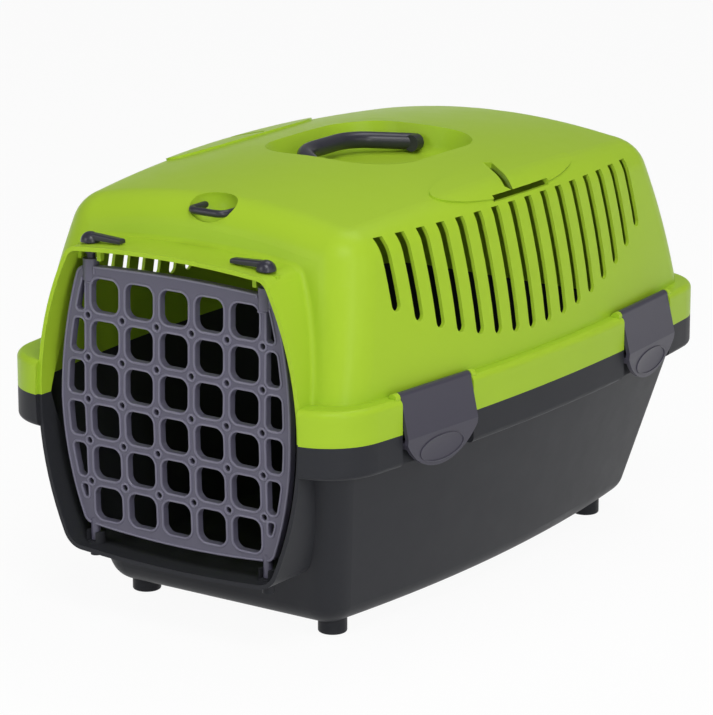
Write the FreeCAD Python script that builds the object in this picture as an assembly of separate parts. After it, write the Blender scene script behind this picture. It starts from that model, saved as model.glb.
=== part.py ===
import FreeCAD, Part
import math
import os

# Pet carrier: a dark tub, a coloured top shell, a lattice door, clips, levers, handle and strap eyelets.
# Millimetres, +Z up, the door faces -Y, the origin is on the floor under the middle.

V = FreeCAD.Vector

# The drawing's middle is moved by this to put the origin under the middle of the whole
frame_shift_y = 5.0

# General fits and helpers
overrun = 5.0
reach = 420.0
wall = 2.5
pin_clearance = 0.06
side_clearance = 0.65
play = 0.4
unit_radius = 1.0

# Seam between tub and top shell
seam_z = 154.0
seam_front_y = -230.3
seam_rear_y = 225.8
body_mid_y = (seam_front_y + seam_rear_y) / 2
seam_overlap = 10.0

# Long sides: they bow in plan, and the top shell's also bow in height
side_belly_half_width = 152.6
side_belly_z = 133.5
side_section_radius = 501.6
side_plan_radius = 1250.0
side_sweep_deg = 20.0
side_drop = side_section_radius - math.sqrt(side_section_radius ** 2 - (seam_z - side_belly_z) ** 2)
seam_half_width = side_belly_half_width - side_drop

# Top shell body
end_lean_deg = 16.5
upper_corner_radius = 30.0
shoulder_radius = 28.0
frustum_top_z = 340.0
shoulder_low_z = 240.0
roof_crown_z = 303.6
roof_mid_y = 8.0
roof_cross_radius = 540.0
roof_long_radius = 1740.0
roof_half_width = 180.0
roof_base_z = 100.0
roof_sweep_deg = 12.0

# Tub body and feet
tub_bottom_z = 10.0
tub_bottom_half_width = 107.5
tub_bottom_front_y = -182.0
tub_bottom_rear_y = 206.0
tub_corner_radius = 22.0
tub_floor_radius = 19.0
foot_radius = 10.0
foot_edge = 1.5
foot_x = 79.4
foot_front_y = -159.8
foot_rear_y = 167.9
foot_root_z = 24.0

# Flange of the shell and rim of the tub
flange_ledge = 6.8
flange_half_width = side_belly_half_width + flange_ledge
flange_plan_radius = 1600.0
flange_front_y = -240.6
flange_rear_y = 229.4
flange_corner_radius = 42.0
flange_top_z = 178.0
flange_edge = 4.5
rim_bottom_z = 131.5
rim_edge = 4.0
skirt_wall = 3.0

# Door mouth and the collar round it
mouth_half_width = 106.2
mouth_upper_radius = 215.0
mouth_lower_radius = 225.0
mouth_top_z = 261.5
mouth_top_radius = 800.0
mouth_sill_z = 50.0
mouth_sill_radius = 1000.0
mouth_top_corner = 9.0
mouth_low_corner = 14.0
collar_wall = 3.0
collar_front_y = -237.5
collar_rear_y = -165.0
cove_radius = 4.0

# Door lattice
door_front_y = -229.0
door_thickness = 5.0
door_bend_z = 154.4
door_upper_lean_deg = 1.35
door_lower_lean_deg = 1.9
door_half_width = 95.4
door_upper_radius = 297.8
door_lower_radius = 237.6
door_top_z = 248.5
door_top_radius = 1212.0
door_bottom_z = 62.0
door_bottom_radius = 770.0
door_corner = 8.0
lattice_pitch = 29.0
square_size = 23.0
square_corner = 6.5
square_columns = 5
square_rows = 6
frame_width = 6.5
partial_corner_share = 0.3
dot_radius = 2.0
dot_columns = 6
dot_rows = 5

# Door hinge: pins below, lever stems above
hinge_x = 72.5
hinge_y = -223.5
hub_radius = 5.5
hub_bottom_z = 236.0
hub_top_z = 251.0
stem_slot = 7.0
door_pin_radius = 3.25
door_pin_bottom_z = 54.4
door_pin_top_z = 70.0
bracket_radius = 6.5
bracket_base_z = 50.0
bracket_top_z = 60.5
bracket_mouth = 7.2
nub_radius = 4.0
nub_bottom_z = 43.5

# Levers
stem_radius = 3.0
stem_bottom_z = 240.5
stem_collar_radius = 4.2
stem_collar_bottom_z = 254.6
stem_collar_top_z = 257.2
lever_base_z = 262.3
lever_dome_radius = 6.8
lever_arm_length = 27.0
lever_arm_width = 6.4
lever_arm_bottom_z = 264.1
lever_arm_root_z = 268.6
lever_arm_tip_z = 267.2
lever_arm_edge = 1.6
post_offset = 8.2
post_width = 3.2
post_depth = 4.0
post_bottom_z = 250.0
post_top_z = 260.0

# Clips, drawn with x counted outward from the flange's face
clip_width = 73.5
clip_front_y = -142.5
clip_rear_y = 126.0
clip_hinge_x = -5.6
clip_hinge_z = 178.2
clip_knuckle_radius = 3.2
clip_knuckle_gap = 0.6
clip_pin_radius = 1.6
clip_pin_length = 3.0
clip_plate = 3.0
clip_crease_x = 4.0
clip_crease_z = 151.0
clip_tip_x = 1.4
clip_tip_z = 126.5
clip_tab_z = 147.0
clip_nose_z = 143.0
clip_nose_height = 5.0
thumb_half_length = 22.0
thumb_half_height = 8.5
thumb_depth = 0.8
thumb_ball = 3.0
thumb_z = 138.5
notch_x = -5.8
ear_radius = 3.3
ear_length = 4.5
ear_bore_depth = 3.3
notch_block_wall = 3.0

# Vent slots
slot_count = 16
slot_pitch = 20.16
slot_width = 8.4
slot_mid_y = -10.6
slot_top_z = 278.3
slot_low_z = 192.3
slot_arc_radius = 316.4

# Belt pads and slits
pad_mid_y = -3.0
pad_half_length = 84.0
pad_half_height = 20.0
pad_x = 111.0
pad_z = 290.0
pad_raise = 1.5
pad_depth = 30.0
pad_tilt_deg = 32.0
belt_slit_low_z = 280.5
belt_slit_high_z = 285.0
belt_slit_front_y = -39.0
belt_slit_rear_y = 30.0
belt_slit_inner_x = 105.0
strap_slit_width = 6.5
strap_slit_outer_x = 126.0
strap_slit_outer_y = -17.2
strap_slit_inner_x = 95.0
strap_slit_inner_y = 3.6

# Handle recess and folding handle
recess_mid_y = -2.0
recess_floor_z = 283.5
recess_floor_half_width = 54.0
recess_floor_half_length = 62.0
recess_top_z = 320.0
recess_top_half_width = 69.0
recess_top_half_length = 70.4
recess_corner = 40.0
recess_floor_radius = 7.0
handle_pivot_z = 291.0
handle_half_length = 60.5
handle_reach = 37.7
handle_grip_half = 29.0
handle_bend = 34.0
handle_radius = 6.0
handle_rest_deg = 4.0
handle_knuckle_length = 8.0
handle_pin_radius = 3.0
handle_pin_end = 71.0

# Strap eyelets in the brow and in the rear shoulder
eyelet_bar_y = -192.0
eyelet_bar_z = 285.5
eyelet_half_width = 14.0
eyelet_bar_radius = 2.5
eyelet_bend = 6.0
eyelet_leg_end_y = -160.0
scoop_y = -184.0
scoop_z = 290.0
scoop_half_width = 18.0
scoop_half_length = 15.0
scoop_half_height = 14.0


def box(x0, x1, y0, y1, z0, z1):
    """Box between two corners."""
    return Part.makeBox(x1 - x0, y1 - y0, z1 - z0, V(x0, y0, z0))


def rod(radius, start, end):
    """Round bar from one point to another."""
    axis = end - start
    return Part.makeCylinder(radius, axis.Length, start, axis)


def mirrored_x(shape):
    """The same shape on the other side of the middle plane."""
    return shape.mirror(V(0, 0, 0), V(1, 0, 0))


def single(shape):
    """The one solid that a cut or fuse is meant to leave."""
    return max(shape.Solids, key=lambda solid: solid.Volume)


def joined(base, extras):
    """Base with every extra fused to it."""
    return base.fuse(extras).removeSplitter()


def frustum(low, high):
    """Four-sided tapered block; each end is half width, front y, rear y and z."""
    rings = []
    for half, front, rear, z in (low, high):
        rings.append([V(-half, front, z), V(half, front, z), V(half, rear, z), V(-half, rear, z)])
    bottom, top = rings
    faces = [Part.Face(Part.makePolygon(bottom[::-1] + [bottom[-1]]))]
    faces.append(Part.Face(Part.makePolygon(top + [top[0]])))
    for i in range(len(bottom)):
        j = (i + 1) % len(bottom)
        faces.append(Part.Face(Part.makePolygon([bottom[i], bottom[j], top[j], top[i], bottom[i]])))
    return Part.makeSolid(Part.makeShell(faces))


def upright_edges(shape):
    """Edges that run from low to high."""
    levels = [vertex.Z for vertex in shape.Vertexes]
    found = []
    for edge in shape.Edges:
        heights = [vertex.Z for vertex in edge.Vertexes]
        if max(heights) - min(heights) > (max(levels) - min(levels)) / 2:
            found.append(edge)
    return found


def between_bowed_sides(block, outline, hub_x):
    """Block kept between two bowed sides; the right one's profile is turned about a far upright axis."""
    hub = V(hub_x, body_mid_y, 0)
    face = Part.Face(Part.Wire(outline))
    face.rotate(hub, V(0, 0, 1), -side_sweep_deg)
    side = face.revolve(hub, V(0, 0, 1), 2 * side_sweep_deg)
    return single(block.common(side).common(mirrored_x(side)))


def straight_profile(low_x, high_x, low_z, high_z):
    """Upright profile at mid length, straight outside and reaching past the far side."""
    corners = [(low_x, low_z), (high_x, high_z), (-roof_half_width, high_z), (-roof_half_width, low_z)]
    points = [V(x, body_mid_y, z) for x, z in corners]
    return Part.makePolygon(points + [points[0]]).Edges


def barrel_profile(inset):
    """Upright profile of the top shell's side at mid length, an arc outside."""
    radius = side_section_radius - inset
    centre_x = side_belly_half_width - side_section_radius
    low = seam_z - seam_overlap
    points = []
    for z in (low, (low + frustum_top_z) / 2, frustum_top_z):
        x = centre_x + math.sqrt(radius ** 2 - (z - side_belly_z) ** 2)
        points.append(V(x, body_mid_y, z))
    far = -roof_half_width
    back = [points[2], V(far, body_mid_y, frustum_top_z), V(far, body_mid_y, low), points[0]]
    return [Part.Arc(points[0], points[1], points[2]).toShape()] + Part.makePolygon(back).Edges


def edges_at(shape, z):
    """Edges that lie in one level plane."""
    found = []
    for edge in shape.Edges:
        if all(abs(vertex.Z - z) < pin_clearance for vertex in edge.Vertexes):
            found.append(edge)
    return found


def ellipsoid(centre, half_x, half_y, half_z):
    """Ball stretched to three half sizes."""
    matrix = FreeCAD.Matrix()
    matrix.scale(half_x, half_y, half_z)
    ball = Part.makeSphere(unit_radius).transformGeometry(matrix)
    ball.translate(centre)
    return ball


def roof_block(inset):
    """Block under the doubly curved roof, a cross arc turned about a level axis."""
    cross = roof_cross_radius - inset
    along = roof_long_radius - inset
    crown = roof_crown_z - inset
    eaves = crown - cross + math.sqrt(cross * cross - roof_half_width * roof_half_width)
    left = V(-roof_half_width, roof_mid_y, eaves)
    right = V(roof_half_width, roof_mid_y, eaves)
    low_left = V(-roof_half_width, roof_mid_y, roof_base_z)
    low_right = V(roof_half_width, roof_mid_y, roof_base_z)
    arc = Part.Arc(left, V(0, roof_mid_y, crown), right).toShape()
    below = Part.makePolygon([right, low_right, low_left, left]).Edges
    face = Part.Face(Part.Wire([arc] + below))
    hub = V(0, roof_mid_y, crown - along)
    face.rotate(hub, V(1, 0, 0), -roof_sweep_deg)
    return face.revolve(hub, V(1, 0, 0), 2 * roof_sweep_deg)


def upper_body(inset):
    """Top shell block: leaning walls, rounded corners, curved roof and round shoulders."""
    end = math.tan(math.radians(end_lean_deg))
    front = seam_front_y + inset / math.cos(math.radians(end_lean_deg))
    rear = seam_rear_y - inset / math.cos(math.radians(end_lean_deg))
    ends = []
    for z in (seam_z - seam_overlap, frustum_top_z):
        rise = z - seam_z
        ends.append((roof_half_width, front + rise * end, rear - rise * end, z))
    block = frustum(ends[0], ends[1])
    block = between_bowed_sides(block, barrel_profile(inset), side_belly_half_width - side_plan_radius)
    block = block.makeFillet(upper_corner_radius - inset, upright_edges(block))
    block = block.common(roof_block(inset))
    shoulder = []
    for edge in block.Edges:
        heights = [vertex.Z for vertex in edge.Vertexes]
        if min(heights) > shoulder_low_z and max(heights) - min(heights) < shoulder_radius:
            shoulder.append(edge)
    return block.makeFillet(shoulder_radius - inset, shoulder)


def tub_body(inset):
    """Tub block: leaning walls, rounded corners and a rounded floor edge."""
    height = seam_z - tub_bottom_z
    floor = tub_bottom_z + inset
    top = seam_z + seam_overlap
    ends = []
    halves = []
    for z in (floor, top):
        share = (z - tub_bottom_z) / height
        halves.append(tub_bottom_half_width + (seam_half_width - tub_bottom_half_width) * share - inset)
        front = tub_bottom_front_y + (seam_front_y - tub_bottom_front_y) * share + inset
        rear = tub_bottom_rear_y + (seam_rear_y - tub_bottom_rear_y) * share - inset
        ends.append((roof_half_width, front, rear, z))
    block = frustum(ends[0], ends[1])
    profile = straight_profile(halves[0], halves[1], floor, top)
    block = between_bowed_sides(block, profile, side_belly_half_width - side_plan_radius)
    block = block.makeFillet(tub_corner_radius - inset, upright_edges(block))
    return block.makeFillet(tub_floor_radius - inset, edges_at(block, floor))


def ring_block(inset, low_z, high_z):
    """Rounded, bowed block as wide and long as the flange."""
    half = flange_half_width - inset
    wide = flange_half_width + overrun
    block = box(-wide, wide, flange_front_y + inset, flange_rear_y - inset, low_z, high_z)
    profile = straight_profile(half, half, low_z, high_z)
    block = between_bowed_sides(block, profile, flange_half_width - flange_plan_radius)
    return block.makeFillet(flange_corner_radius - inset, upright_edges(block))


def meeting(centre_a, radius_a, centre_b, radius_b, upper):
    """Right-hand point where two circles in the XZ plane meet, the upper or the lower one."""
    dx = centre_b[0] - centre_a[0]
    dz = centre_b[1] - centre_a[1]
    span = math.hypot(dx, dz)
    along = (radius_a * radius_a - radius_b * radius_b + span * span) / (2 * span)
    off = math.sqrt(radius_a * radius_a - along * along)
    mid_x = centre_a[0] + along * dx / span
    mid_z = centre_a[1] + along * dz / span
    points = [(mid_x + off * dz / span, mid_z - off * dx / span)]
    points.append((mid_x - off * dz / span, mid_z + off * dx / span))
    right = [point for point in points if point[0] > 0]
    return max(right, key=lambda point: point[1] if upper else -point[1])


def reached(centre, radius, through):
    """Point of a circle in the XZ plane in line with another point."""
    dx = through[0] - centre[0]
    dz = through[1] - centre[1]
    span = math.hypot(dx, dz)
    return (centre[0] + radius * dx / span, centre[1] + radius * dz / span)


def arc_xz(centre, radius, start, end):
    """Short arc about a centre in the XZ plane."""
    first = math.atan2(start[1] - centre[1], start[0] - centre[0])
    last = math.atan2(end[1] - centre[1], end[0] - centre[0])
    turn = (last - first + math.pi) % (2 * math.pi) - math.pi
    middle = first + turn / 2
    through = V(centre[0] + radius * math.cos(middle), 0, centre[1] + radius * math.sin(middle))
    return Part.Arc(V(start[0], 0, start[1]), through, V(end[0], 0, end[1])).toShape()


def barrel_outline(half, mid_z, radii, top_z, low_z, corners, grow, y0, y1):
    """Prism along Y with arc sides and round corners; radii are upper, lower, top and bottom."""
    upper_radius, lower_radius, top_radius, low_radius = radii
    upper = (half - upper_radius, mid_z)
    lower = (half - lower_radius, mid_z)
    top = (0, top_z - top_radius)
    low = (0, low_z + low_radius)
    side = (half + grow, mid_z)
    high_mid = meeting(upper, upper_radius - corners[0], top, top_radius - corners[0], True)
    low_mid = meeting(lower, lower_radius - corners[1], low, low_radius - corners[1], False)
    upper_end = reached(upper, upper_radius + grow, high_mid)
    top_end = reached(top, top_radius + grow, high_mid)
    lower_end = reached(lower, lower_radius + grow, low_mid)
    low_end = reached(low, low_radius + grow, low_mid)

    def flip(point):
        return (-point[0], point[1])

    wire = Part.Wire([
        arc_xz(low_mid, corners[1] + grow, low_end, lower_end),
        arc_xz(lower, lower_radius + grow, lower_end, side),
        arc_xz(upper, upper_radius + grow, side, upper_end),
        arc_xz(high_mid, corners[0] + grow, upper_end, top_end),
        arc_xz(top, top_radius + grow, top_end, flip(top_end)),
        arc_xz(flip(high_mid), corners[0] + grow, flip(top_end), flip(upper_end)),
        arc_xz(flip(upper), upper_radius + grow, flip(upper_end), flip(side)),
        arc_xz(flip(lower), lower_radius + grow, flip(side), flip(lower_end)),
        arc_xz(flip(low_mid), corners[1] + grow, flip(lower_end), flip(low_end)),
        arc_xz(low, low_radius + grow, flip(low_end), low_end)])
    prism = Part.Face(wire).extrude(V(0, y1 - y0, 0))
    prism.translate(V(0, y0, 0))
    return prism


def mouth_prism(grow, y0, y1):
    """The door mouth as a prism, grown by the collar wall where asked."""
    radii = (mouth_upper_radius, mouth_lower_radius, mouth_top_radius, mouth_sill_radius)
    corners = (mouth_top_corner, mouth_low_corner)
    return barrel_outline(mouth_half_width, seam_z, radii, mouth_top_z, mouth_sill_z, corners, grow, y0, y1)


def door_prism(grow, y0, y1):
    """The door outline as a prism, shrunk where grow is negative."""
    radii = (door_upper_radius, door_lower_radius, door_top_radius, door_bottom_radius)
    corners = (door_corner, door_corner)
    return barrel_outline(door_half_width, seam_z, radii, door_top_z, door_bottom_z, corners, grow, y0, y1)


def collar_prism():
    """The grown mouth, from the collar's front face back into the body."""
    return mouth_prism(collar_wall, collar_front_y, collar_rear_y)


def clip_places():
    """Every clip as its name, its side and the middle of its width."""
    return [("clip_front_left", -1, clip_front_y), ("clip_front_right", 1, clip_front_y),
            ("clip_rear_left", -1, clip_rear_y), ("clip_rear_right", 1, clip_rear_y)]


def seated(shape, side, mid):
    """Shape drawn at the flange's face, moved along the bowed flange, turned with it and put on a side."""
    run = mid - body_mid_y
    inward = flange_plan_radius - math.sqrt(flange_plan_radius ** 2 - run ** 2)
    shape.rotate(V(0, 0, 0), V(0, 0, 1), math.degrees(math.asin(run / flange_plan_radius)))
    shape.translate(V(flange_half_width - inward, mid, 0))
    return shape if side > 0 else mirrored_x(shape)


def clip_blocks(spread, inner_x, z0, z1):
    """Blocks over the four clip places, wider than a clip by a spread at each end."""
    blocks = []
    for name, side, mid in clip_places():
        half = clip_width / 2 + spread
        blocks.append(seated(box(inner_x, overrun, -half, half, z0, z1), side, mid))
    return blocks


def skirt(body, collar, low_z, high_z, open_below_z, roof_z, edge_z, edge_radius):
    """Flange or rim: a ring that stands out from the body and is hollow below."""
    ring = ring_block(0, low_z, high_z)
    ring = ring.makeFillet(edge_radius, edges_at(ring, edge_z))
    ring = ring.cut(collar)
    hollow = ring_block(skirt_wall, open_below_z, roof_z).cut(body).cut(collar)
    spread = side_clearance + notch_block_wall
    hollow = hollow.cut(clip_blocks(spread, -clip_width, open_below_z - overrun, roof_z + overrun))
    return ring, hollow


def recess(inset):
    """Handle recess block; a negative inset gives the outside of its liner."""
    floor = recess_floor_z + inset
    low = (recess_floor_half_width - inset, recess_mid_y - recess_floor_half_length + inset,
           recess_mid_y + recess_floor_half_length - inset, floor)
    high = (recess_top_half_width - inset, recess_mid_y - recess_top_half_length + inset,
            recess_mid_y + recess_top_half_length - inset, recess_top_z)
    block = frustum(low, high)
    block = block.makeFillet(recess_corner - inset, upright_edges(block))
    return block.makeFillet(recess_floor_radius - inset, edges_at(block, floor))


def at_rear(shape):
    """The same shape at the rear end of the body."""
    return shape.mirror(V(0, body_mid_y, 0), V(0, 1, 0))


def scoop(inset):
    """Hollow round an eyelet; a negative inset gives the outside of its liner."""
    halves = [half - inset for half in (scoop_half_width, scoop_half_length, scoop_half_height)]
    return ellipsoid(V(0, scoop_y, scoop_z), halves[0], halves[1], halves[2])


def eyelet_path():
    """Middle line of the eyelet bar: leg, bend, front bar, bend, leg."""
    x = eyelet_half_width
    y = eyelet_bar_y
    z = eyelet_bar_z
    r = eyelet_bend
    slack = r * (1 - math.sqrt(2) / 2)
    left_bend = Part.Arc(V(-x, y + r, z), V(-x + slack, y + slack, z), V(-x + r, y, z)).toShape()
    right_bend = Part.Arc(V(x - r, y, z), V(x - slack, y + slack, z), V(x, y + r, z)).toShape()
    return Part.Wire([
        Part.makeLine(V(-x, eyelet_leg_end_y, z), V(-x, y + r, z)), left_bend,
        Part.makeLine(V(-x + r, y, z), V(x - r, y, z)), right_bend,
        Part.makeLine(V(x, y + r, z), V(x, eyelet_leg_end_y, z))])


def swept(path, radius, start, direction):
    """Round bar along a path."""
    ring = Part.Wire([Part.makeCircle(radius, start, direction)])
    return path.makePipeShell([ring], True, True)


def eyelet():
    """Strap eyelet, a bent round bar."""
    start = V(-eyelet_half_width, eyelet_leg_end_y, eyelet_bar_z)
    return swept(eyelet_path(), eyelet_bar_radius, start, V(0, -1, 0))


def slot_prisms():
    """Upright vent slots through both sides, square above and round below."""
    prisms = []
    half = slot_width / 2
    for i in range(slot_count):
        offset = (i - (slot_count - 1) / 2) * slot_pitch
        y = slot_mid_y + offset
        low = slot_low_z + slot_arc_radius - math.sqrt(slot_arc_radius * slot_arc_radius - offset * offset)
        mid = low + half
        arc = Part.Arc(V(-reach, y - half, mid), V(-reach, y, low), V(-reach, y + half, mid)).toShape()
        up = Part.makeLine(V(-reach, y + half, mid), V(-reach, y + half, slot_top_z))
        across = Part.makeLine(V(-reach, y + half, slot_top_z), V(-reach, y - half, slot_top_z))
        down = Part.makeLine(V(-reach, y - half, slot_top_z), V(-reach, y - half, mid))
        prisms.append(Part.Face(Part.Wire([arc, up, across, down])).extrude(V(2 * reach, 0, 0)))
    return prisms


def pad_block():
    """Oval block set square to the shoulder, for the right belt pad."""
    oval = Part.Ellipse(V(0, 0, 0), pad_half_length, pad_half_height).toShape()
    block = Part.Face(Part.Wire([oval])).extrude(V(0, 0, 2 * pad_depth))
    block.translate(V(0, 0, -pad_depth))
    block.rotate(V(0, 0, 0), V(0, 0, 1), math.degrees(math.pi / 2))
    block.rotate(V(0, 0, 0), V(0, 1, 0), pad_tilt_deg)
    block.translate(V(pad_x, pad_mid_y, pad_z))
    return block


def belt_cuts():
    """Level belt slit and the strap slit above it, for the right side."""
    level = box(belt_slit_inner_x, reach, belt_slit_front_y, belt_slit_rear_y,
                belt_slit_low_z, belt_slit_high_z)
    run = V(strap_slit_inner_x - strap_slit_outer_x, strap_slit_inner_y - strap_slit_outer_y, 0)
    half = strap_slit_width / 2
    upright = box(0, run.Length, -half, half, belt_slit_low_z, frustum_top_z)
    upright.rotate(V(0, 0, 0), V(0, 0, 1), math.degrees(math.atan2(run.y, run.x)))
    upright.translate(V(strap_slit_outer_x, strap_slit_outer_y, 0))
    return [level, upright]


def hinge_points():
    """The two upright hinge lines of the door."""
    return [V(-hinge_x, hinge_y, 0), V(hinge_x, hinge_y, 0)]


def at_height(point, z):
    """The point moved to a height."""
    return V(point.x, point.y, z)


def top_shell():
    """Coloured upper half with roof, collar, flange, recess, slots and clip seats."""
    body = upper_body(0)
    collar = collar_prism().cut(box(-reach, reach, -reach, reach, -reach, seam_z - seam_overlap))
    skin = body.fuse(collar)
    cove = []
    for edge in skin.Edges:
        middle = edge.valueAt((edge.FirstParameter + edge.LastParameter) / 2)
        deepest = min(vertex.Y for vertex in edge.Vertexes)
        if deepest > collar_front_y + collar_wall and middle.z > seam_z - seam_overlap + overrun:
            if collar.distToShape(Part.Vertex(middle))[0] < pin_clearance:
                cove.append(edge)
    skin = skin.makeFillet(cove_radius, cove)
    ring, hollow = skirt(body, mouth_prism(collar_wall, -reach, 0), seam_z, flange_top_z,
                         seam_z - overrun, flange_top_z - skirt_wall, flange_top_z, flange_edge)
    pad = upper_body(-pad_raise).common(pad_block())
    skin = skin.fuse([ring, pad, mirrored_x(pad)])
    liners = [recess(-wall).common(body), scoop(-wall).common(body), at_rear(scoop(-wall)).common(body)]
    inside = upper_body(wall)
    shell = skin.cut([inside, hollow])
    shell = shell.fuse(liners)
    shell = shell.cut([recess(0), scoop(0), at_rear(scoop(0))])
    shell = shell.cut(mouth_prism(0, -reach, 0))
    belts = belt_cuts()
    shell = shell.cut(slot_prisms() + belts + [mirrored_x(cut) for cut in belts])
    shell = shell.cut(box(-reach, reach, -reach, reach, -reach, seam_z))
    shell = shell.cut(clip_blocks(side_clearance, notch_x, seam_z - overrun, flange_top_z + overrun))
    ears = []
    seats = []
    for name, side, mid in clip_places():
        half = clip_width / 2 + side_clearance
        hinge = V(clip_hinge_x, 0, clip_hinge_z)
        room = clip_knuckle_radius + clip_knuckle_gap
        seats.append(seated(rod(room, hinge - V(0, half, 0), hinge + V(0, half, 0)), side, mid))
        deep = half + ear_bore_depth
        bore = clip_pin_radius + pin_clearance
        seats.append(seated(rod(bore, hinge - V(0, deep, 0), hinge + V(0, deep, 0)), side, mid))
        for end in (-1, 1):
            start = hinge + V(0, end * half, 0)
            ear = rod(ear_radius, start, start + V(0, end * ear_length, 0))
            ears.append(seated(ear, side, mid).cut(inside))
    shell = shell.fuse(ears).cut(seats)
    posts = []
    holes = []
    for point in hinge_points():
        for offset in (-post_offset, post_offset):
            x = point.x + offset
            posts.append(box(x - post_width / 2, x + post_width / 2, hinge_y - post_depth / 2,
                             hinge_y + post_depth / 2, post_bottom_z, post_top_z))
        hole = stem_radius + pin_clearance
        holes.append(rod(hole, at_height(point, stem_collar_top_z), at_height(point, frustum_top_z)))
    shell = shell.fuse(posts).cut(holes)
    bar_holes = swept(eyelet_path(), eyelet_bar_radius + pin_clearance,
                      V(-eyelet_half_width, eyelet_leg_end_y, eyelet_bar_z), V(0, -1, 0))
    deep = handle_pin_end + overrun
    pivot = rod(handle_pin_radius + pin_clearance, V(0, recess_mid_y - deep, handle_pivot_z),
                V(0, recess_mid_y + deep, handle_pivot_z))
    shell = shell.cut([bar_holes, at_rear(bar_holes), pivot])
    return single(shell)


def tub():
    """Dark lower half with feet, rim, sill and the lower hinge brackets."""
    body = tub_body(0)
    collar = collar_prism().cut(box(-reach, reach, -reach, reach, seam_z + seam_overlap, reach))
    feet = []
    for x in (-foot_x, foot_x):
        for y in (foot_front_y, foot_rear_y):
            foot = Part.makeCylinder(foot_radius, foot_root_z, V(x, y, 0))
            feet.append(foot.makeFillet(foot_edge, edges_at(foot, 0)))
    ring, hollow = skirt(body, mouth_prism(collar_wall, -reach, 0), rim_bottom_z, seam_z,
                         rim_bottom_z - overrun, seam_z - skirt_wall, rim_bottom_z, rim_edge)
    nubs = [rod(nub_radius, at_height(point, nub_bottom_z), at_height(point, bracket_base_z))
            for point in hinge_points()]
    shape = body.fuse([collar, ring] + feet)
    shape = shape.cut([tub_body(wall), hollow, mouth_prism(0, -reach, 0)])
    shape = shape.cut(box(-reach, reach, -reach, reach, seam_z, reach))
    shape = shape.cut(clip_blocks(side_clearance, notch_x, rim_bottom_z - overrun, seam_z + overrun))
    brackets = []
    for point in hinge_points():
        bracket = rod(bracket_radius, at_height(point, bracket_base_z), at_height(point, bracket_top_z))
        half = bracket_mouth / 2
        low = door_pin_bottom_z - play
        high = bracket_top_z + overrun
        gap = box(point.x - half, point.x + half, point.y - 2 * bracket_radius, point.y, low, high)
        bore = rod(door_pin_radius + pin_clearance, at_height(point, low), at_height(point, high))
        brackets.append(bracket.cut([gap, bore]))
    return single(shape.fuse(nubs + brackets))


def rounded_square(x, z):
    """One lattice opening as a prism along Y."""
    half = square_size / 2
    block = box(x - half, x + half, door_front_y - overrun, door_front_y + 2 * door_thickness + overrun,
                z - half, z + half)
    edges = [edge for edge in block.Edges if abs(edge.Vertexes[0].Y - edge.Vertexes[-1].Y) > door_thickness]
    return block.makeFillet(square_corner, edges)


def side_opening(side, z):
    """Lattice opening at the rim, cut short by the door frame and rounded to suit."""
    half = square_size / 2
    x = side * lattice_pitch * (square_columns + 1) / 2
    y0 = door_front_y - overrun
    y1 = door_front_y + 2 * door_thickness + overrun
    block = box(x - half, x + half, y0, y1, z - half, z + half)
    block = single(block.common(door_prism(-frame_width, y0 - overrun, y1 + overrun)))
    radius = partial_corner_share * block.BoundBox.XLength
    edges = [edge for edge in block.Edges if abs(edge.Vertexes[0].Y - edge.Vertexes[-1].Y) > door_thickness]
    roomy = []
    for edge in edges:
        middle = edge.CenterOfMass
        if all(other is edge or middle.distanceToPoint(other.CenterOfMass) > 2 * radius for other in edges):
            roomy.append(edge)
    return block.makeFillet(radius, roomy)


def door():
    """Lattice door bent at the seam, with hubs for the lever stems and pins below."""
    plate = door_prism(0, door_front_y, door_front_y + door_thickness)
    upper = plate.common(box(-reach, reach, -reach, reach, door_bend_z, reach))
    lower = plate.common(box(-reach, reach, -reach, reach, -reach, door_bend_z))
    bend = V(0, door_front_y, door_bend_z)
    upper.rotate(bend, V(1, 0, 0), -door_upper_lean_deg)
    lower.rotate(bend, V(1, 0, 0), door_lower_lean_deg)
    shape = joined(upper, [lower])
    cuts = []
    for row in range(square_rows):
        z = door_bend_z + (row - (square_rows - 1) / 2) * lattice_pitch
        for column in range(square_columns):
            cuts.append(rounded_square((column - (square_columns - 1) / 2) * lattice_pitch, z))
        cuts.append(side_opening(-1, z))
        cuts.append(side_opening(1, z))
    for row in range(dot_rows):
        z = door_bend_z + (row - (dot_rows - 1) / 2) * lattice_pitch
        for column in range(dot_columns):
            x = (column - (dot_columns - 1) / 2) * lattice_pitch
            cuts.append(rod(dot_radius, V(x, door_front_y - overrun, z), V(x, hinge_y + 2 * overrun, z)))
    shape = shape.cut(cuts)
    extras = []
    bores = []
    for point in hinge_points():
        extras.append(rod(hub_radius, at_height(point, hub_bottom_z), at_height(point, hub_top_z)))
        pin_low = at_height(point, door_pin_bottom_z)
        extras.append(rod(door_pin_radius, pin_low, at_height(point, door_pin_top_z)))
        low = stem_bottom_z - play
        high = hub_top_z + overrun
        bores.append(rod(stem_radius + pin_clearance, at_height(point, low), at_height(point, high)))
        half = stem_slot / 2
        bores.append(box(point.x - half, point.x + half, hinge_y, hinge_y + 2 * hub_radius, low, high))
    return single(shape.fuse(extras).cut(bores))


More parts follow.
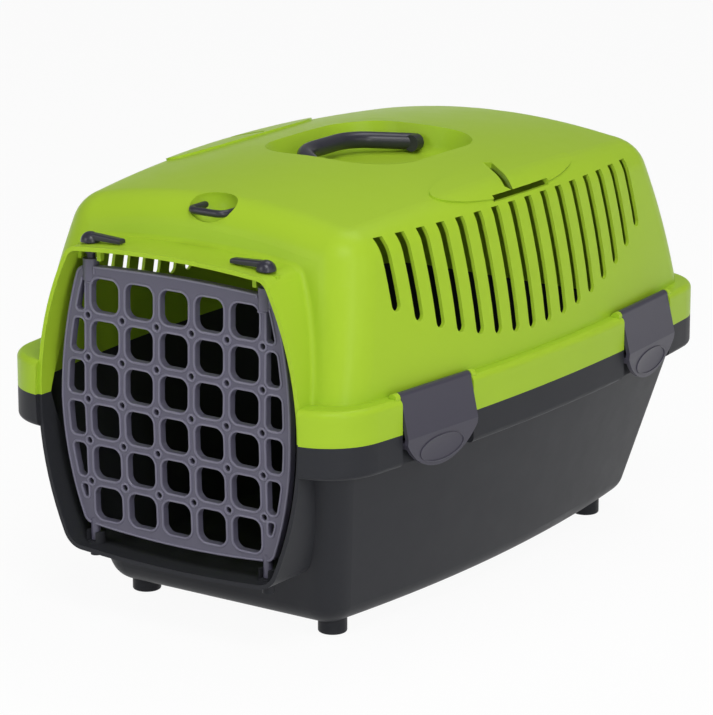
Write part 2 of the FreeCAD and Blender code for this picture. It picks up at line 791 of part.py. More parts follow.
def lever(side):
    """Turning lever: dome and arm on the ledge, stem through it into the door hub."""
    x = side * hinge_x
    stem = rod(stem_radius, V(x, hinge_y, stem_bottom_z), V(x, hinge_y, lever_arm_bottom_z))
    collar = rod(stem_collar_radius, V(x, hinge_y, stem_collar_bottom_z), V(x, hinge_y, stem_collar_top_z))
    dome = Part.makeSphere(lever_dome_radius, V(x, hinge_y, lever_base_z), V(0, 0, 1), 0)
    tip = x - side * lever_arm_length
    y0 = hinge_y - lever_arm_width / 2
    outline = [V(x, y0, lever_arm_bottom_z), V(tip, y0, lever_arm_bottom_z), V(tip, y0, lever_arm_tip_z),
               V(x, y0, lever_arm_root_z), V(x, y0, lever_arm_bottom_z)]
    arm = Part.Face(Part.makePolygon(outline)).extrude(V(0, lever_arm_width, 0))
    soft = []
    for edge in arm.Edges:
        ends = [vertex.Point for vertex in edge.Vertexes]
        at_tip = all(abs(point.x - tip) < pin_clearance for point in ends)
        on_top = all(point.z > lever_arm_bottom_z + lever_arm_edge for point in ends)
        if at_tip or (on_top and abs(ends[0].x - ends[1].x) > lever_arm_edge):
            soft.append(edge)
    soft = [edge for edge in soft if min(vertex.Z for vertex in edge.Vertexes) > lever_arm_bottom_z]
    arm = arm.makeFillet(lever_arm_edge, soft)
    return single(joined(stem, [collar, dome, arm]))


def clip(side, mid):
    """Clip: knuckle with end pins, bent plate, rounded tab with a thumb dish and a hook nose."""
    y0 = -clip_width / 2
    hinge_start = V(clip_hinge_x, y0, clip_hinge_z)
    knuckle = rod(clip_knuckle_radius, hinge_start, hinge_start + V(0, clip_width, 0))
    top_x = clip_hinge_x + clip_knuckle_radius
    outer = [(top_x, clip_hinge_z), (clip_crease_x, clip_crease_z), (clip_tip_x, clip_tip_z)]
    inner = [(clip_tip_x - clip_plate, clip_tip_z), (clip_crease_x - clip_plate, clip_crease_z),
             (clip_hinge_x, clip_hinge_z)]
    points = [V(x, y0, z) for x, z in outer + inner]
    plate = Part.Face(Part.makePolygon(points + [points[0]])).extrude(V(0, clip_width, 0))
    nose = box(notch_x + play, clip_crease_x - clip_plate / 2, y0, y0 + clip_width, clip_nose_z,
               clip_nose_z + clip_nose_height)
    back = -clip_width
    low = Part.Arc(V(back, y0, clip_tab_z), V(back, 0, clip_tip_z), V(back, -y0, clip_tab_z)).toShape()
    sides = [V(back, -y0, clip_tab_z), V(back, -y0, frustum_top_z),
             V(back, y0, frustum_top_z), V(back, y0, clip_tab_z)]
    tab = Part.Face(Part.Wire([low] + Part.makePolygon(sides).Edges)).extrude(V(reach, 0, 0))
    shape = single(joined(knuckle, [plate, nose]).common(tab))
    share = math.sqrt(1 - ((thumb_ball - thumb_depth) / thumb_ball) ** 2)
    lean = (clip_crease_x - clip_tip_x) / (clip_crease_z - clip_tip_z)
    face_x = clip_crease_x - (clip_crease_z - thumb_z) * lean
    ball = ellipsoid(V(0, 0, 0), thumb_ball, thumb_half_length / share, thumb_half_height / share)
    ball.rotate(V(0, 0, 0), V(0, 1, 0), math.degrees(math.atan(lean)))
    ball.translate(V(face_x + thumb_ball - thumb_depth, 0, thumb_z))
    shape = shape.cut(ball)
    pin_start = hinge_start - V(0, clip_pin_length, 0)
    pin = rod(clip_pin_radius, pin_start, pin_start + V(0, clip_width + 2 * clip_pin_length, 0))
    return seated(single(shape.fuse(pin)), side, mid)


def handle():
    """Folding handle lying in its recess: a bent round bar with a pin at each end."""
    mid = recess_mid_y
    grip = handle_grip_half
    end = handle_half_length
    slope = handle_reach / (end - grip)
    tail = handle_knuckle_length
    leg = math.hypot(handle_reach, end - grip)
    turn = math.atan(slope)
    cut_back = handle_bend * math.tan(turn / 2)
    corner = grip + (end - grip) * cut_back / leg
    drop = handle_reach * cut_back / leg
    bow = handle_bend * (1 - math.cos(turn / 2))
    bow_y = grip - cut_back + handle_bend * math.sin(turn / 2)
    lines = []
    start = V(slope * tail, mid - end - tail, 0)
    points = {}
    for sign in (-1, 1):
        points[sign] = [V(slope * tail, mid + sign * (end + tail), 0),
                        V(-handle_reach + drop, mid + sign * corner, 0),
                        V(-handle_reach + bow, mid + sign * bow_y, 0),
                        V(-handle_reach, mid + sign * (grip - cut_back), 0)]
    front = points[-1]
    rear = points[1]
    lines.append(Part.makeLine(front[0], front[1]))
    lines.append(Part.Arc(front[1], front[2], front[3]).toShape())
    lines.append(Part.makeLine(front[3], rear[3]))
    lines.append(Part.Arc(rear[3], rear[2], rear[1]).toShape())
    lines.append(Part.makeLine(rear[1], rear[0]))
    bar = swept(Part.Wire(lines), handle_radius, start, front[1] - front[0])
    bar = bar.common(box(-reach, 0, mid - end, mid + end, -reach, reach))
    extras = []
    for sign in (-1, 1):
        tip = V(0, mid + sign * end, 0)
        knuckle = rod(handle_radius, tip, tip - V(0, sign * tail, 0))
        extras.append(knuckle)
        root = tip - V(0, sign * tail / 2, 0)
        extras.append(rod(handle_pin_radius, root, V(0, mid + sign * handle_pin_end, 0)))
    shape = single(joined(bar, extras))
    shape.rotate(V(0, 0, 0), V(0, 1, 0), handle_rest_deg)
    shape.translate(V(0, 0, handle_pivot_z))
    return shape


def pieces():
    """Every node name with its shape."""
    made = {"tub": tub(), "top_shell": top_shell(), "door": door()}
    made["lever_left"] = lever(-1)
    made["lever_right"] = lever(1)
    for name, side, mid in clip_places():
        made[name] = clip(side, mid)
    made["handle"] = handle()
    made["eyelet_front"] = eyelet()
    made["eyelet_rear"] = at_rear(eyelet())
    return made


os.makedirs("parts", exist_ok=True)
for node, shape in pieces().items():
    shape.translate(V(0, frame_shift_y, 0))
    print(node, shape.isValid(), len(shape.Solids), round(shape.Volume))
    shape.exportStep(os.path.join("parts", node + ".step"))
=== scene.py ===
import logging
import math
from dataclasses import dataclass, field
from enum import Enum

import bmesh
import bpy
from mathutils import Matrix, Vector


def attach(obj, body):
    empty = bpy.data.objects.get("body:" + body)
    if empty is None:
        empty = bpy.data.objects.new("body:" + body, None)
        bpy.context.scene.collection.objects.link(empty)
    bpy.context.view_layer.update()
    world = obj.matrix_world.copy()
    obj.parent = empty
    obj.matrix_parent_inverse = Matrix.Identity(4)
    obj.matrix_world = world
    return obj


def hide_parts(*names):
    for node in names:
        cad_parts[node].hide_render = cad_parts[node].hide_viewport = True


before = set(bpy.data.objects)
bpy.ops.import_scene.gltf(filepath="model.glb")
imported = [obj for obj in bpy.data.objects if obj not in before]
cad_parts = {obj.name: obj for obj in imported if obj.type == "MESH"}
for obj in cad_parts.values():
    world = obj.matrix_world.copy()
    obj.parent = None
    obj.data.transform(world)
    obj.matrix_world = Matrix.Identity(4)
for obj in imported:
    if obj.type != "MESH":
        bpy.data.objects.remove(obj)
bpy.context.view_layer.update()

LOG = logging.getLogger("pet_carrier")
Colour = tuple[float, float, float]
Place = tuple[float, float, float]

MERGE_DISTANCE = 2e-6
SMOOTH_DEG = 18.0
NOISE_MIDDLE = 0.5
WHITE = (1.0, 1.0, 1.0, 1.0)


def linear(shade: Colour) -> tuple[float, float, float, float]:
    """Turn a screen colour into a linear one by the sRGB curve.

    Args:
        shade: red, green and blue as seen on a screen, from 0 to 255.

    Returns:
        The colour in linear light, with full alpha.
    """
    parts = []
    for value in shade:
        part = value / 255.0
        parts.append(part / 12.92 if part <= 0.04045 else ((part + 0.055) / 1.055) ** 2.4)
    return (parts[0], parts[1], parts[2], 1.0)


class Signal:
    """A shader socket that takes part in Python sums."""

    def __init__(self, board: "Board", socket: bpy.types.NodeSocket) -> None:
        """Keep the board and the socket."""
        self.board = board
        self.socket = socket

    def _sum(self, operation: str, first: object, second: object) -> "Signal":
        """Add a Math node for one operation.

        Args:
            operation: the Math node's operation.
            first: the first term, a signal or a number.
            second: the second term, a signal or a number.

        Returns:
            The result as a signal.
        """
        return self.board.signal("ShaderNodeMath", {"operation": operation}, {0: first, 1: second})

    def __add__(self, other: object) -> "Signal":
        """Signal plus other."""
        return self._sum("ADD", self, other)

    def __radd__(self, other: object) -> "Signal":
        """Other plus signal."""
        return self._sum("ADD", other, self)

    def __sub__(self, other: object) -> "Signal":
        """Signal less other."""
        return self._sum("SUBTRACT", self, other)

    def __mul__(self, other: object) -> "Signal":
        """Signal times other."""
        return self._sum("MULTIPLY", self, other)

    def at_most(self, other: object) -> "Signal":
        """The lesser of signal and other."""
        return self._sum("MINIMUM", self, other)


class Board:
    """The node board of one material or world."""

    def __init__(self, tree: bpy.types.NodeTree) -> None:
        """Start from an empty tree."""
        self.tree = tree
        tree.nodes.clear()

    def add(self, kind: str, settings: dict[str, object], sockets: dict[object, object]) -> bpy.types.Node:
        """Add any node.

        Args:
            kind: the node's type.
            settings: attributes that are set first.
            sockets: values or signals for its inputs, by name or index.

        Returns:
            The new node.
        """
        node = self.tree.nodes.new(kind)
        for name, value in settings.items():
            setattr(node, name, value)
        for key, value in sockets.items():
            if isinstance(value, Signal):
                self.tree.links.new(value.socket, node.inputs[key])
            else:
                node.inputs[key].default_value = value
        return node

    def signal(self, kind: str, settings: dict[str, object], sockets: dict[object, object],
               output: object = 0) -> Signal:
        """Add a node and take one of its outputs.

        Args:
            kind: the node's type.
            settings: attributes that are set first.
            sockets: values or signals for its inputs.
            output: name or index of the output.

        Returns:
            The output as a signal.
        """
        return Signal(self, self.add(kind, settings, sockets).outputs[output])

    def noise(self, place: Signal, scale: float, detail: float, roughness: float = 0.5) -> Signal:
        """Add a noise texture.

        Args:
            place: the coordinates.
            scale: how many spots lie along one unit of place.
            detail: number of finer layers.
            roughness: weight of the finer layers.

        Returns:
            The noise, from 0 to 1.
        """
        return self.signal("ShaderNodeTexNoise", {}, {
            "Vector": place, "Scale": scale, "Detail": detail, "Roughness": roughness})

    def mix(self, share: object, first: object, second: object) -> Signal:
        """Mix two colours.

        Args:
            share: how much of the second colour, a signal or a number.
            first: the first colour.
            second: the second colour.

        Returns:
            The mixed colour.
        """
        settings = {"data_type": "RGBA", "clamp_factor": True}
        return self.signal("ShaderNodeMix", settings, {0: share, 6: first, 7: second}, 2)


@dataclass(frozen=True)
class GrainLook:
    """The numbers of one mould grain."""

    fine_scale: float
    dust_share: float
    fine_height: float
    bump_strength: float


class Grain(Enum):
    """How the mould's surface was finished."""

    SATIN = GrainLook(2600.0, 0.02, 0.3, 0.10)
    SPARK = GrainLook(1500.0, 0.04, 0.6, 0.22)


@dataclass(frozen=True)
class Wear:
    """How all the plastics drift in colour and take scuffs."""

    drift_scale: float = 9.0
    drift_detail: float = 3.0
    cloud_scale: float = 55.0
    cloud_detail: float = 4.0
    cloud_roughness: float = 0.6
    fine_detail: float = 2.0
    scuff_stretch: Place = (30.0, 30.0, 420.0)
    scuff_detail: float = 5.0
    scuff_roughness: float = 0.7
    scuff_from: float = 0.62
    scuff_to: float = 0.78
    scuff_dust: float = 0.08
    cloud_in_rough: float = 0.10
    fine_in_rough: float = 0.08
    scuff_in_rough: float = 0.05
    cloud_height: float = 0.4
    depth: float = 0.00025


WEAR = Wear()


@dataclass(frozen=True)
class Plastic:
    """A moulded plastic: a colour that drifts a little, a fine grain and faint scuffs."""

    name: str
    shade: Colour
    drift_shade: Colour
    dust_shade: Colour
    roughness: float
    grain: Grain
    specular: float

    def material(self) -> bpy.types.Material:
        """Make the material.

        Returns:
            The procedural material.
        """
        material = bpy.data.materials.new(self.name)
        material.use_nodes = True
        board = Board(material.node_tree)
        look = self.grain.value
        place = board.signal("ShaderNodeTexCoord", {}, {}, "Object")
        drift = board.noise(place, WEAR.drift_scale, WEAR.drift_detail)
        cloud = board.noise(place, WEAR.cloud_scale, WEAR.cloud_detail, WEAR.cloud_roughness)
        fine = board.noise(place, look.fine_scale, WEAR.fine_detail)
        stretch = board.signal("ShaderNodeMapping", {}, {"Vector": place, "Scale": WEAR.scuff_stretch})
        streak = board.noise(stretch, 1.0, WEAR.scuff_detail, WEAR.scuff_roughness)
        scuff = board.signal("ShaderNodeMapRange", {}, {
            "Value": streak, "From Min": WEAR.scuff_from, "From Max": WEAR.scuff_to})
        tint = board.mix(drift, linear(self.shade), linear(self.drift_shade))
        dust = scuff * cloud * WEAR.scuff_dust + fine * look.dust_share
        colour = board.mix(dust, tint, linear(self.dust_shade))
        cloud_rough = (cloud - NOISE_MIDDLE) * WEAR.cloud_in_rough
        fine_rough = (fine - NOISE_MIDDLE) * WEAR.fine_in_rough
        rough = self.roughness + cloud_rough + fine_rough + scuff * WEAR.scuff_in_rough
        height = fine * look.fine_height + cloud * WEAR.cloud_height
        bump = board.signal("ShaderNodeBump", {}, {
            "Strength": look.bump_strength, "Distance": WEAR.depth, "Height": height})
        shader = board.signal("ShaderNodeBsdfPrincipled", {}, {
            "Base Color": colour, "Roughness": rough, "Normal": bump, "Specular IOR Level": self.specular})
        board.add("ShaderNodeOutputMaterial", {}, {"Surface": shader})
        return material


SHELL = Plastic("lime_shell", shade=(164, 197, 50), drift_shade=(158, 192, 44), dust_shade=(196, 214, 128),
                roughness=0.34, grain=Grain.SATIN, specular=0.11)
TUB = Plastic("black_tub", shade=(46, 47, 51), drift_shade=(42, 43, 47), dust_shade=(92, 92, 96),
              roughness=0.46, grain=Grain.SPARK, specular=0.12)
DOOR = Plastic("violet_grey_door", shade=(90, 88, 105), drift_shade=(85, 83, 99), dust_shade=(140, 138, 152),
               roughness=0.36, grain=Grain.SATIN, specular=0.40)
# A lighter copy of the door plastic for the beads: a painted highlight along the door's edges, not wear.
PAINTED_RIM_HIGHLIGHT = Plastic("door_rim_painted_highlight", shade=(112, 110, 127), drift_shade=(106, 104, 121),
              dust_shade=(150, 148, 162), roughness=0.34, grain=Grain.SATIN, specular=0.40)
CLIP = Plastic("dark_grey_clip", shade=(66, 64, 76), drift_shade=(61, 59, 71), dust_shade=(120, 118, 130),
               roughness=0.36, grain=Grain.SATIN, specular=0.28)
FITTING = Plastic("charcoal_fitting", shade=(47, 46, 57), drift_shade=(43, 42, 52), dust_shade=(96, 94, 106),
                  roughness=0.30, grain=Grain.SATIN, specular=0.40)


def paint(piece: bpy.types.Object, material: bpy.types.Material) -> None:
    """Give a piece one material in all its slots.

    Args:
        piece: a new piece or a frame node.
        material: the finish.
    """
    if not piece.data.materials:
        piece.data.materials.append(material)
    for slot in piece.material_slots:
        slot.material = material


def linked(name: str, data: bpy.types.ID) -> bpy.types.Object:
    """Make an object at the origin and put it in the scene.

    Args:
        name: the object's name.
        data: its mesh, light or camera.

    Returns:
        The new object.
    """
    thing = bpy.data.objects.new(name, data)
    bpy.context.scene.collection.objects.link(thing)
    return thing


def mesh_data(name: str, mesh: bmesh.types.BMesh) -> bpy.types.Mesh:
    """Turn a finished bmesh into mesh data.

    Args:
        name: the data's name.
        mesh: the shape, freed afterwards.

    Returns:
        The mesh data.
    """
    data = bpy.data.meshes.new(name)
    mesh.to_mesh(data)
    mesh.free()
    return data


def merged_node(node: str) -> bmesh.types.BMesh:
    """Copy a frame node's mesh with its split corners joined.

    Args:
        node: the frame node.

    Returns:
        The copy.
    """
    mesh = bmesh.new()
    mesh.from_mesh(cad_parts[node].data)
    bmesh.ops.remove_doubles(mesh, verts=mesh.verts, dist=MERGE_DISTANCE)
    return mesh


def new_piece(name: str, mesh: bmesh.types.BMesh, material: bpy.types.Material, body: str) -> bpy.types.Object:
    """Make an object of a finished bmesh and let it ride.

    Args:
        name: the piece's name.
        mesh: the shape, freed afterwards.
        material: its finish.
        body: the body that it moves with.

    Returns:
        The new piece.
    """
    data = mesh_data(name, mesh)
    data.shade_smooth()
    data.set_sharp_from_angle(angle=math.radians(SMOOTH_DEG))
    piece = linked(name, data)
    paint(piece, material)
    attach(piece, body)
    LOG.info("piece %s rides on %s", name, body)
    return piece


@dataclass(frozen=True)
class Rounding:
    """How sharp edges are rounded."""

    width: float
    segments: int
    limit_deg: float

    def apply(self, piece: bpy.types.Object) -> None:
        """Round a piece's sharp edges.

        Args:
            piece: the piece.
        """
        rounding = piece.modifiers.new("rounding", "BEVEL")
        rounding.limit_method = "ANGLE"
        rounding.angle_limit = math.radians(self.limit_deg)
        rounding.width = self.width
        rounding.segments = self.segments
        rounding.profile = 0.5
        rounding.harden_normals = True


@dataclass
class Shells:
    """The tub and the top shell."""

    def dress(self, finishes: dict[str, bpy.types.Material]) -> None:
        """Give both halves their plastic.

        Args:
            finishes: the materials by finish name.
        """
        paint(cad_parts["top_shell"], finishes[SHELL.name])
        paint(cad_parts["tub"], finishes[TUB.name])


@dataclass
class DoorSet:
    """The lattice door and the round bead along its front edges, in a lighter plastic that paints a highlight
    there.
    """

    bead_radius: float = 0.0009
    bead_resolution: int = 2
    bead_step: float = 0.0009
    front_share: float = 0.97
    sharp_deg: float = 50.0
    shortest_line: float = 0.0100

    def build(self, finishes: dict[str, bpy.types.Material]) -> None:
        """Dress the door and lay its beads.

        Args:
            finishes: the materials by finish name.
        """
        paint(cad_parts["door"], finishes[DOOR.name])
        # The beads' lighter colour is a painted highlight along the door's front edges.
        new_piece("door_beads", self.beads(), finishes[PAINTED_RIM_HIGHLIGHT.name], "door")

    def beads(self) -> bmesh.types.BMesh:
        """Lay a round bead along the openings and the border of the door's front.

        Returns:
            All the beads, in place.
        """
        wire = linked("door_lines", mesh_data("door_lines", self.lines()))
        # The frame's nodes come in selected, and only the wire is to become a curve.
        for other in bpy.context.selected_objects:
            other.select_set(False)
        bpy.context.view_layer.objects.active = wire
        wire.select_set(True)
        bpy.ops.object.convert(target="CURVE")
        curve = bpy.context.view_layer.objects.active
        curve.data.bevel_depth = self.bead_radius
        curve.data.bevel_resolution = self.bead_resolution
        curve.data.use_fill_caps = True
        solved = curve.evaluated_get(bpy.context.evaluated_depsgraph_get())
        round_bar = bpy.data.meshes.new_from_object(solved)
        mesh = bmesh.new()
        mesh.from_mesh(round_bar)
        bpy.data.meshes.remove(round_bar)
        bpy.data.objects.remove(curve)
        return mesh

    def lines(self) -> bmesh.types.BMesh:
        """Trace the middle lines of the beads.

        Returns:
            Edges alone, a bead's step inside the edges of the door's front face.
        """
        lines = merged_node("door")
        kept = [edge for edge in lines.edges if self.is_front_edge(edge)]
        carrying = set(kept)
        spare = [edge for edge in lines.edges if edge not in carrying]
        for vert, step in self.steps_in(kept).items():
            vert.co += step
        bmesh.ops.delete(lines, geom=spare, context="EDGES_FACES")
        bmesh.ops.delete(lines, geom=lines.faces[:], context="FACES_ONLY")
        bmesh.ops.delete(lines, geom=self.scraps(lines), context="VERTS")
        return lines

    def is_front(self, face: bmesh.types.BMFace) -> bool:
        """Tell whether a face looks out of the door's front."""
        return -face.normal.y > self.front_share

    def is_front_edge(self, edge: bmesh.types.BMEdge) -> bool:
        """Tell whether an edge bounds the door's front face.

        Args:
            edge: an edge of the merged door.

        Returns:
            True where the front face turns away sharply.
        """
        if len(edge.link_faces) != 2:
            return False
        first, second = edge.link_faces
        sharp = edge.calc_face_angle(0.0) > math.radians(self.sharp_deg)
        return sharp and self.is_front(first) != self.is_front(second)

    def steps_in(self, edges: list[bmesh.types.BMEdge]) -> dict[bmesh.types.BMVert, Vector]:
        """Work out how far each point moves from its edge on to the front face.

        Args:
            edges: the edges that carry beads.

        Returns:
            The step of every vertex on those edges.
        """
        ways: dict[bmesh.types.BMVert, list[Vector]] = {}
        for edge in edges:
            front = next(face for face in edge.link_faces if self.is_front(face))
            start, end = (vert.co for vert in edge.verts)
            inward = front.normal.cross(end - start).normalized()
            if inward.dot(front.calc_center_median() - (start + end) / 2) < 0:
                inward.negate()
            for vert in edge.verts:
                ways.setdefault(vert, []).append(inward)
        steps = {}
        for vert, found in ways.items():
            # A corner's step is longer than a straight line's, so that both lines keep their distance.
            total = sum(found, Vector())
            steps[vert] = total * (self.bead_step * len(found) / max(total.length_squared, 1.0))
        return steps

    def scraps(self, lines: bmesh.types.BMesh) -> list[bmesh.types.BMVert]:
        """Find what is too short to carry a bead.

        Args:
            lines: the beads' middle lines.

        Returns:
            The vertices of loose points and short lines.
        """
        found = []
        seen: set[bmesh.types.BMVert] = set()
        for start in lines.verts:
            if start in seen:
                continue
            seen.add(start)
            line = [start]
            for vert in line:
                for edge in vert.link_edges:
                    other = edge.other_vert(vert)
                    if other not in seen:
                        seen.add(other)
                        line.append(other)
            # Every edge is met from both its ends.
            length = sum(edge.calc_length() for vert in line for edge in vert.link_edges) / 2
            if length < self.shortest_line:
                found.extend(line)
        return found


@dataclass(frozen=True)
class ClipPlace:
    """Where one clip sits: its node, its body, its side and its middle along the carrier."""

    node: str
    body: str
    side: int
    mid: float


FRONT_CLIP_Y = -0.1375
REAR_CLIP_Y = 0.1310
CLIP_PLACES = (
    ClipPlace("clip_front_left", "front_left_clip", -1, FRONT_CLIP_Y),
    ClipPlace("clip_front_right", "front_right_clip", 1, FRONT_CLIP_Y),
    ClipPlace("clip_rear_left", "rear_left_clip", -1, REAR_CLIP_Y),
    ClipPlace("clip_rear_right", "rear_right_clip", 1, REAR_CLIP_Y),
)


@dataclass
class ClipSet:
    """The four side clips with their thumb rings."""

    flat_deg: float = 0.4
    plate_edge: Rounding = Rounding(0.0009, 3, 32.0)
    ring_edge: Rounding = Rounding(0.0003, 2, 40.0)
    bow_radius: float = 1.600
    bow_mid_y: float = 0.00275
    face_half_width: float = 0.1594
    crease_out: float = 0.0040
    crease_z: float = 0.1510
    tip_out: float = 0.0014
    tip_z: float = 0.1265
    ring_z: float = 0.1385
    ring_half_length: float = 0.0230
    ring_half_height: float = 0.0094
    ring_segments: int = 72
    ring_line: float = 0.0010
    ring_proud: float = 0.0006
    ring_root: float = 0.0006

    def build(self, finishes: dict[str, bpy.types.Material]) -> None:
        """Build the clips with rounded edges and a thumb ring each.

        Args:
            finishes: the materials by finish name.
        """
        finish = finishes[CLIP.name]
        for clip in CLIP_PLACES:
            plate = new_piece(clip.node + "_plate", self.plate(clip), finish, clip.body)
            self.plate_edge.apply(plate)
            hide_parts(clip.node)
            ring = new_piece(clip.node + "_ring", self.ring(clip), finish, clip.body)
            self.ring_edge.apply(ring)

    def plate(self, clip: ClipPlace) -> bmesh.types.BMesh:
        """Copy a clip with its flat faces made whole, ready for rounding.

        Args:
            clip: which clip.

        Returns:
            The plate, in place.
        """
        mesh = merged_node(clip.node)
        bmesh.ops.dissolve_limit(mesh, angle_limit=math.radians(self.flat_deg), verts=mesh.verts,
                                 edges=mesh.edges)
        return mesh

    def ring(self, clip: ClipPlace) -> bmesh.types.BMesh:
        """Raise an oval line on a clip's tab.

        Args:
            clip: which clip.

        Returns:
            The ring, in place.
        """
        mesh = bmesh.new()
        bmesh.ops.create_circle(mesh, cap_ends=True, segments=self.ring_segments, radius=1.0)
        bmesh.ops.scale(mesh, vec=(self.ring_half_length, self.ring_half_height, 1.0), verts=mesh.verts)
        middle = mesh.faces[:]
        bmesh.ops.inset_region(mesh, faces=middle, thickness=self.ring_line,
                               use_even_offset=True, use_boundary=True)
        bmesh.ops.delete(mesh, geom=middle, context="FACES")
        raised = bmesh.ops.extrude_face_region(mesh, geom=mesh.faces[:])["geom"]
        lifted = [item for item in raised if isinstance(item, bmesh.types.BMVert)]
        bmesh.ops.translate(mesh, vec=(0.0, 0.0, self.ring_root + self.ring_proud), verts=lifted)
        bmesh.ops.translate(mesh, vec=(0.0, 0.0, -self.ring_root), verts=mesh.verts)
        bmesh.ops.transform(mesh, matrix=self.tab_place(clip), verts=mesh.verts)
        bmesh.ops.recalc_face_normals(mesh, faces=mesh.faces)
        return mesh

    def tab_place(self, clip: ClipPlace) -> Matrix:
        """Find the middle of a clip's tab, which leans in below its crease.

        Args:
            clip: which clip.

        Returns:
            The matrix that lays a flat drawing on the tab.
        """
        run = clip.mid - self.bow_mid_y
        turn = math.asin(run / self.bow_radius)
        drop = self.crease_z - self.tip_z
        share = (self.crease_z - self.ring_z) / drop
        lean = math.atan2(self.crease_out - self.tip_out, drop)
        out = self.crease_out + (self.tip_out - self.crease_out) * share
        face_x = self.face_half_width - self.bow_radius + math.sqrt(self.bow_radius ** 2 - run ** 2)
        upright = Matrix(((0, 0, 1), (1, 0, 0), (0, 1, 0))).to_4x4()
        local = Matrix.Translation((out, 0.0, self.ring_z)) @ Matrix.Rotation(lean, 4, "Y") @ upright
        place = Matrix.Translation((face_x, clip.mid, 0.0)) @ Matrix.Rotation(turn, 4, "Z") @ local
        return Matrix.Diagonal((clip.side, 1.0, 1.0, 1.0)) @ place


@dataclass
class Fittings:
    """Levers, handle and strap eyelets."""

    nodes: tuple[str, ...] = ("lever_left", "lever_right", "handle", "eyelet_front", "eyelet_rear")

    def dress(self, finishes: dict[str, bpy.types.Material]) -> None:
        """Give the fittings their plastic.

        Args:
            finishes: the materials by finish name.
        """
        for node in self.nodes:
            paint(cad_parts[node], finishes[FITTING.name])


@dataclass(frozen=True)
class Lamp:
    """A soft rectangular lamp: its place, the width of its face, its watts and the height of its face."""

    name: str
    place: Place
    width: float
    power: float
    height: float = 0.9

    def hang(self, target: Vector) -> None:
        """Hang the lamp so that it looks at a point.

        Args:
            target: the point.
        """
        data = bpy.data.lights.new(self.name, "AREA")
        data.shape = "RECTANGLE"
        data.size = self.width
        data.size_y = self.height
        data.energy = self.power
        lamp = linked(self.name, data)
        lamp.location = self.place
        lamp.rotation_euler = (target - Vector(self.place)).to_track_quat("-Z", "Y").to_euler()


LAMPS = (
    Lamp("key", (0.9, -1.1, 1.9), 1.0, 20.0),
    Lamp("roof", (0.1, 0.6, 2.0), 1.0, 9.0),
    Lamp("side", (2.3, -0.2, 1.1), 0.9, 3.0),
    Lamp("corner_strip", (2.0, -1.35, 0.75), 0.28, 12.0, 1.5),
    Lamp("front", (-1.0, -2.1, 1.1), 0.9, 10.0),
)


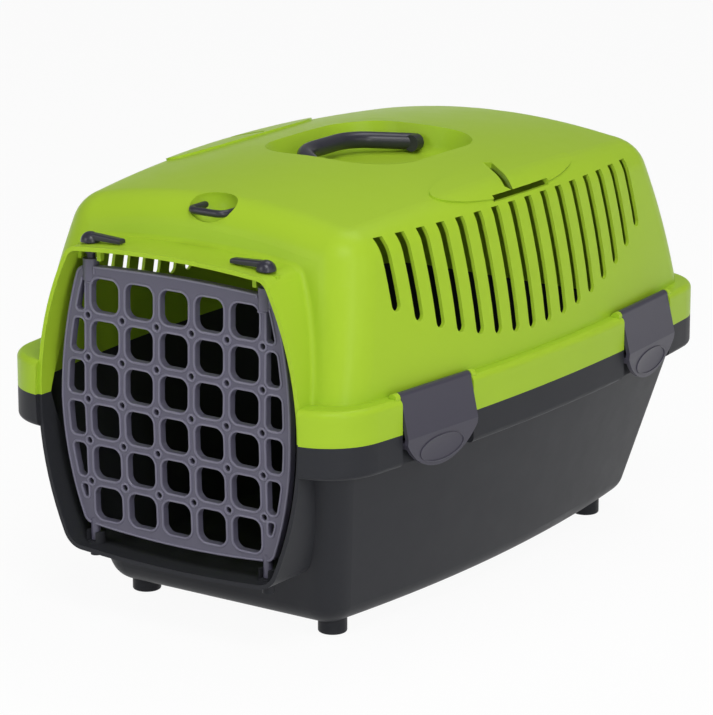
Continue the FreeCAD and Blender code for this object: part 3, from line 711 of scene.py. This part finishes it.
@dataclass
class Studio:
    """Floor, lights and the camera at the photograph's viewing angle."""

    camera_place: Vector = field(default_factory=lambda: Vector((1.4233, -2.0600, 0.8140)))
    camera_back: Vector = field(default_factory=lambda: Vector((0.5514, -0.7933, 0.2581)))
    lamp_target: Vector = field(default_factory=lambda: Vector((0.0, 0.0, 0.15)))
    lens: float = 183.43
    sensor_width: float = 36.0
    sight: float = 50.0
    floor_half_size: float = 6.0
    floor_cells: int = 8
    floor_shade: tuple[float, float, float, float] = (0.9, 0.9, 0.9, 1.0)
    floor_glow: float = 0.94
    horizon_low: float = 0.05
    horizon_high: float = 0.12
    horizon_strength: float = 1.0
    sky_strength: float = 0.22

    def build(self) -> None:
        """Make the camera, the floor, the world and the lights."""
        self.camera()
        self.floor()
        self.world()
        for lamp in LAMPS:
            lamp.hang(self.lamp_target)

    def camera(self) -> None:
        """Put the camera where the photograph was taken from."""
        data = bpy.data.cameras.new("camera")
        data.lens = self.lens
        data.sensor_width = self.sensor_width
        data.clip_end = self.sight
        camera = linked("camera", data)
        back = self.camera_back.normalized()
        right = Vector((0, 0, 1)).cross(back).normalized()
        turn = Matrix((right, back.cross(right), back)).transposed()
        camera.matrix_world = Matrix.Translation(self.camera_place) @ turn.to_4x4()
        bpy.context.scene.camera = camera

    def floor(self) -> None:
        """Lay a pale floor that keeps a soft shadow."""
        mesh = bmesh.new()
        bmesh.ops.create_grid(mesh, x_segments=self.floor_cells, y_segments=self.floor_cells,
                              size=self.floor_half_size)
        floor = linked("floor", mesh_data("floor", mesh))
        material = bpy.data.materials.new("pale_floor")
        material.use_nodes = True
        board = Board(material.node_tree)
        share = self.seen(board) * self.floor_glow
        pale = board.signal("ShaderNodeBsdfDiffuse", {}, {"Color": self.floor_shade})
        white = board.signal("ShaderNodeEmission", {}, {"Color": WHITE, "Strength": 1.0})
        surface = board.signal("ShaderNodeMixShader", {}, {0: share, 1: pale, 2: white})
        board.add("ShaderNodeOutputMaterial", {}, {"Surface": surface})
        floor.data.materials.append(material)

    def seen(self, board: Board) -> Signal:
        """Pick the rays that see the floor: from the camera, off gloss or through glass.

        Args:
            board: the floor's board.

        Returns:
            One for those rays and nothing for the others.
        """
        path = board.add("ShaderNodeLightPath", {}, {})
        names = ("Is Camera Ray", "Is Glossy Ray", "Is Transmission Ray")
        direct, gloss, through = (Signal(board, path.outputs[name]) for name in names)
        return (direct + gloss + through).at_most(1.0)

    def world(self) -> None:
        """Light the set evenly, white near the horizon and darker overhead."""
        world = bpy.data.worlds.new("studio")
        world.use_nodes = True
        board = Board(world.node_tree)
        way = board.signal("ShaderNodeTexCoord", {}, {}, "Generated")
        height = board.signal("ShaderNodeSeparateXYZ", {}, {"Vector": way}, "Z")
        strength = board.signal("ShaderNodeMapRange", {}, {
            "Value": height, "From Min": self.horizon_low, "From Max": self.horizon_high,
            "To Min": self.horizon_strength, "To Max": self.sky_strength})
        back = board.signal("ShaderNodeBackground", {}, {"Color": WHITE, "Strength": strength})
        board.add("ShaderNodeOutputWorld", {}, {"Surface": back})
        bpy.context.scene.world = world


def main() -> None:
    """Build the classes in order."""
    logging.basicConfig(level=logging.INFO, format="%(name)s: %(message)s")
    bpy.context.scene.view_settings.view_transform = "Standard"
    finishes = {finish.name: finish.material() for finish in (SHELL, TUB, DOOR, PAINTED_RIM_HIGHLIGHT, CLIP, FITTING)}
    Studio().build()
    Shells().dress(finishes)
    Fittings().dress(finishes)
    DoorSet().build(finishes)
    ClipSet().build(finishes)
    bpy.context.view_layer.update()


if __name__ == "__main__":
    main()
